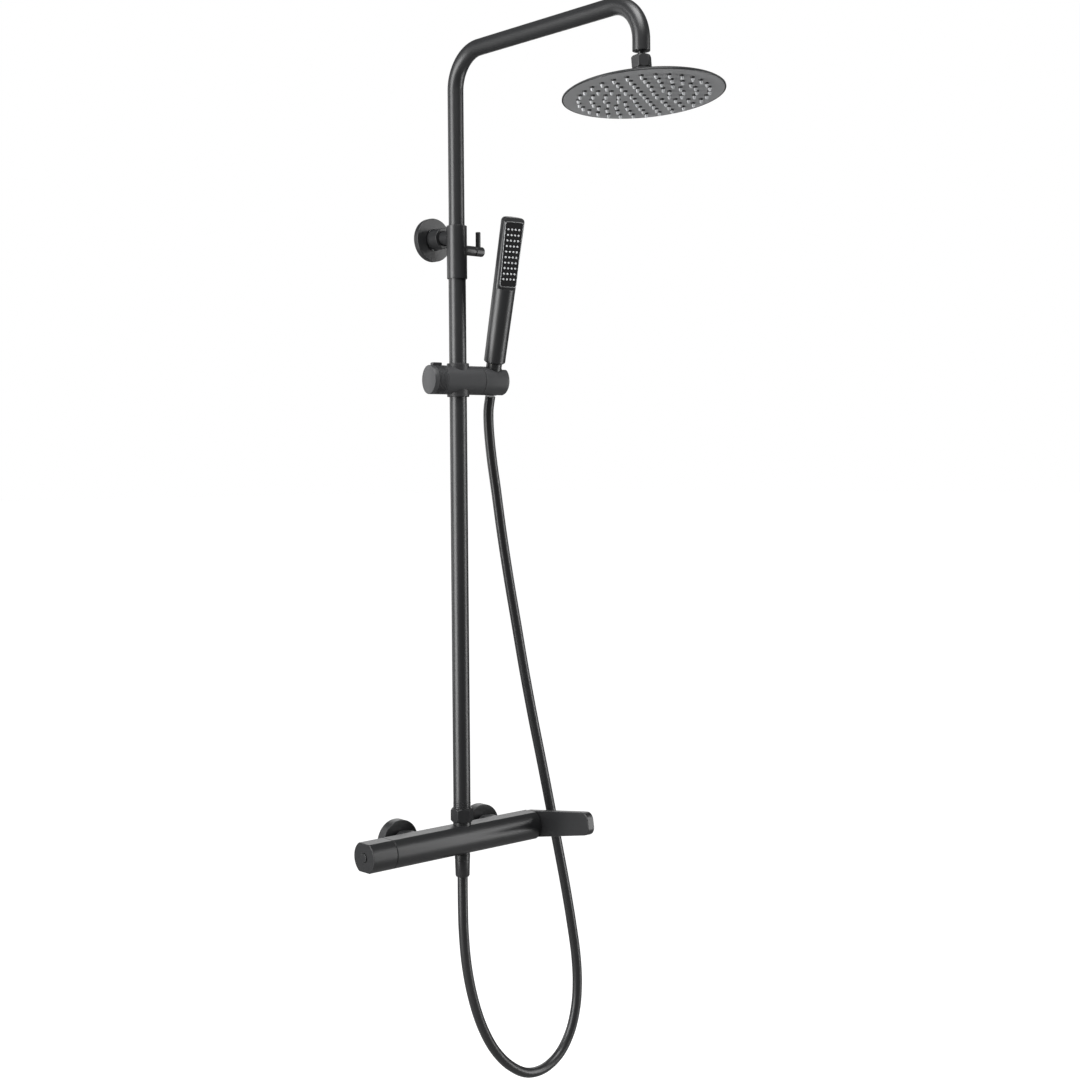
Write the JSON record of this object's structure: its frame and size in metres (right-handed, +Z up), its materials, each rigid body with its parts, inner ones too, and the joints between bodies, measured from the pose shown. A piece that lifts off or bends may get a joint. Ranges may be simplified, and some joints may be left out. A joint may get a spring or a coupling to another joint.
{
  "type": "rainfall shower column",
  "caption": "Exposed bar valve with turning knob and lever, telescopic riser with swinging rain head arm, and a sliding holder with stick handset and hose.",
  "frame": {"origin": "on the finished wall, midway between the two supply axes, at the height of the valve's axis", "axes": "+Z up along the riser, +X along the wall toward the flow lever, -Y out from the wall"},
  "size_m": [0.3987, 0.53, 1.4696],
  "materials": {
    "matt_black_metal": "satin-matt black coating on brass and stainless tube, no visible texture",
    "bare_brass": "machined brass, unplated, hidden inside",
    "black_plastic": "moulded black plastic",
    "white_plastic": "moulded natural white plastic",
    "pale_silicone": "pale grey moulded silicone",
    "black_rubber": "black seal rubber",
    "hose_pvc": "smooth satin black hose skin",
    "stainless_steel": "plain stainless steel",
    "grey_spray_plate": "satin mid grey spray face"
  },
  "bodies": {
    "fixed_column": {"valve_body": "matt_black_metal", "thermostat_cartridge": "bare_brass", "thermostat_retaining_nut": "bare_brass", "flow_cartridge": "bare_brass", "flow_retaining_nut": "bare_brass", "outlet_hose_nut": "matt_black_metal", "outlet_ferrule": "stainless_steel", "wall_union_left": "matt_black_metal", "wall_union_right": "matt_black_metal", "union_nut_left": "matt_black_metal", "union_nut_right": "matt_black_metal", "check_valve_left": "white_plastic", "check_valve_right": "white_plastic", "valve_rosette_left": "matt_black_metal", "valve_rosette_right": "matt_black_metal", "riser_nut": "matt_black_metal", "riser_tailpiece": "matt_black_metal", "lower_riser_tube": "matt_black_metal", "riser_sleeve": "matt_black_metal", "sleeve_seal": "black_rubber", "clamp_pad": "white_plastic", "bracket_wall_plate": "stainless_steel", "bracket_rosette": "matt_black_metal", "bracket_boss": "matt_black_metal", "shower_hose": "hose_pvc"},
    "temperature_control": {"temperature_knob": "matt_black_metal", "temperature_spindle": "bare_brass", "knob_screw": "stainless_steel", "button_spring": "stainless_steel"},
    "stop_button": {"safety_stop_button": "matt_black_metal"},
    "flow_control": {"flow_lever": "matt_black_metal", "flow_spindle": "bare_brass", "lever_screw": "stainless_steel", "lever_cap": "matt_black_metal"},
    "height_clamp": {"clamp_lever": "matt_black_metal", "clamp_screw": "stainless_steel"},
    "riser_carriage": {"riser_guide_bush": "white_plastic"},
    "overhead_arm": {"riser_arm_tube": "matt_black_metal", "arm_ball_nipple": "matt_black_metal"},
    "ball_pitch": {"ball_liner": "white_plastic"},
    "ball_roll": {"ball_seal": "black_rubber", "seat_washer": "white_plastic"},
    "rain_head": {"swivel_nut": "matt_black_metal", "head_shell": "matt_black_metal", "head_spray_plate": "grey_spray_plate", "head_nozzle_mat": "pale_silicone"},
    "slider_carriage": {"slider_bush": "black_plastic"},
    "slider": {"slider_body": "matt_black_metal", "brake_shoe": "black_plastic", "tilt_pivot_bolt": "stainless_steel"},
    "slider_lock": {"lock_knob": "matt_black_metal", "lock_spindle": "stainless_steel"},
    "holder": {"handset_holder": "matt_black_metal"},
    "hose_end": {"hose_cone_nut": "matt_black_metal", "hose_top_ferrule": "stainless_steel"},
    "handset": {"handset_inlet": "bare_brass", "handset_body": "matt_black_metal", "handset_face_plate": "black_plastic", "handset_nozzle_mat": "pale_silicone", "handset_face_frame": "stainless_steel"}
  },
  "joints": [
    {"name": "temperature_knob_turn", "type": "hinge", "parent": "fixed_column", "child": "temperature_control", "pos_m": [-0.15, -0.058, 0], "axis": [1, 0, 0], "range_deg": [-130, 130]},
    {"name": "stop_button_press", "type": "slide", "parent": "temperature_control", "child": "stop_button", "axis": [1, 0, 0], "range_m": [0, 0.0022], "stiffness_N_per_m": 700, "springref_m": -0.001, "deforming": ["button_spring"]},
    {"name": "flow_lever_turn", "type": "hinge", "parent": "fixed_column", "child": "flow_control", "pos_m": [0.1365, -0.058, 0], "axis": [1, 0, 0], "range_deg": [-75, 75]},
    {"name": "clamp_lever_turn", "type": "hinge", "parent": "fixed_column", "child": "height_clamp", "pos_m": [0.038, -0.058, 0.82], "axis": [1, 0, 0], "range_deg": [-90, 90]},
    {"name": "riser_height", "type": "slide", "parent": "fixed_column", "child": "riser_carriage", "axis": [0, 0, 1], "range_m": [-0.165, 0.2]},
    {"name": "arm_swing", "type": "hinge", "parent": "riser_carriage", "child": "overhead_arm", "pos_m": [0, -0.058, 0.7], "axis": [0, 0, 1], "range_deg": [-60, 60]},
    {"name": "head_pitch", "type": "hinge", "parent": "overhead_arm", "child": "ball_pitch", "pos_m": [0, -0.4125, 1.012], "axis": [1, 0, 0], "range_deg": [-10, 20]},
    {"name": "head_roll", "type": "hinge", "parent": "ball_pitch", "child": "ball_roll", "pos_m": [0, -0.4125, 1.012], "axis": [0, 1, 0], "range_deg": [-15, 15]},
    {"name": "head_spin", "type": "hinge", "parent": "ball_roll", "child": "rain_head", "pos_m": [0, -0.4125, 1.012], "axis": [0, 0.0924, 0.9957], "continuous": true},
    {"name": "slider_slide", "type": "slide", "parent": "fixed_column", "child": "slider_carriage", "axis": [0, 0, 1], "range_m": [-0.45, 0.09], "deforming": ["shower_hose"]},
    {"name": "slider_swing", "type": "hinge", "parent": "slider_carriage", "child": "slider", "pos_m": [0, -0.058, 0.64], "axis": [0, 0, 1], "range_deg": [-80, 25]},
    {"name": "lock_knob_turn", "type": "hinge", "parent": "slider", "child": "slider_lock", "pos_m": [-0.0344, -0.0513, 0.64], "axis": [0.9816, -0.1908, 0], "range_deg": [-120, 60]},
    {"name": "holder_tilt", "type": "hinge", "parent": "slider", "child": "holder", "pos_m": [0.05301, -0.0683, 0.64], "axis": [0.9816, -0.1908, 0], "range_deg": [-12, 40]},
    {"name": "handset_lift", "type": "slide", "parent": "holder", "child": "hose_end", "axis": [-0.0526, -0.2706, 0.9613], "range_m": [0, 0.06]},
    {"name": "handset_spin", "type": "hinge", "parent": "hose_end", "child": "handset", "pos_m": [0.05301, -0.0683, 0.64], "axis": [-0.0526, -0.2706, 0.9613], "continuous": true}
  ]
}
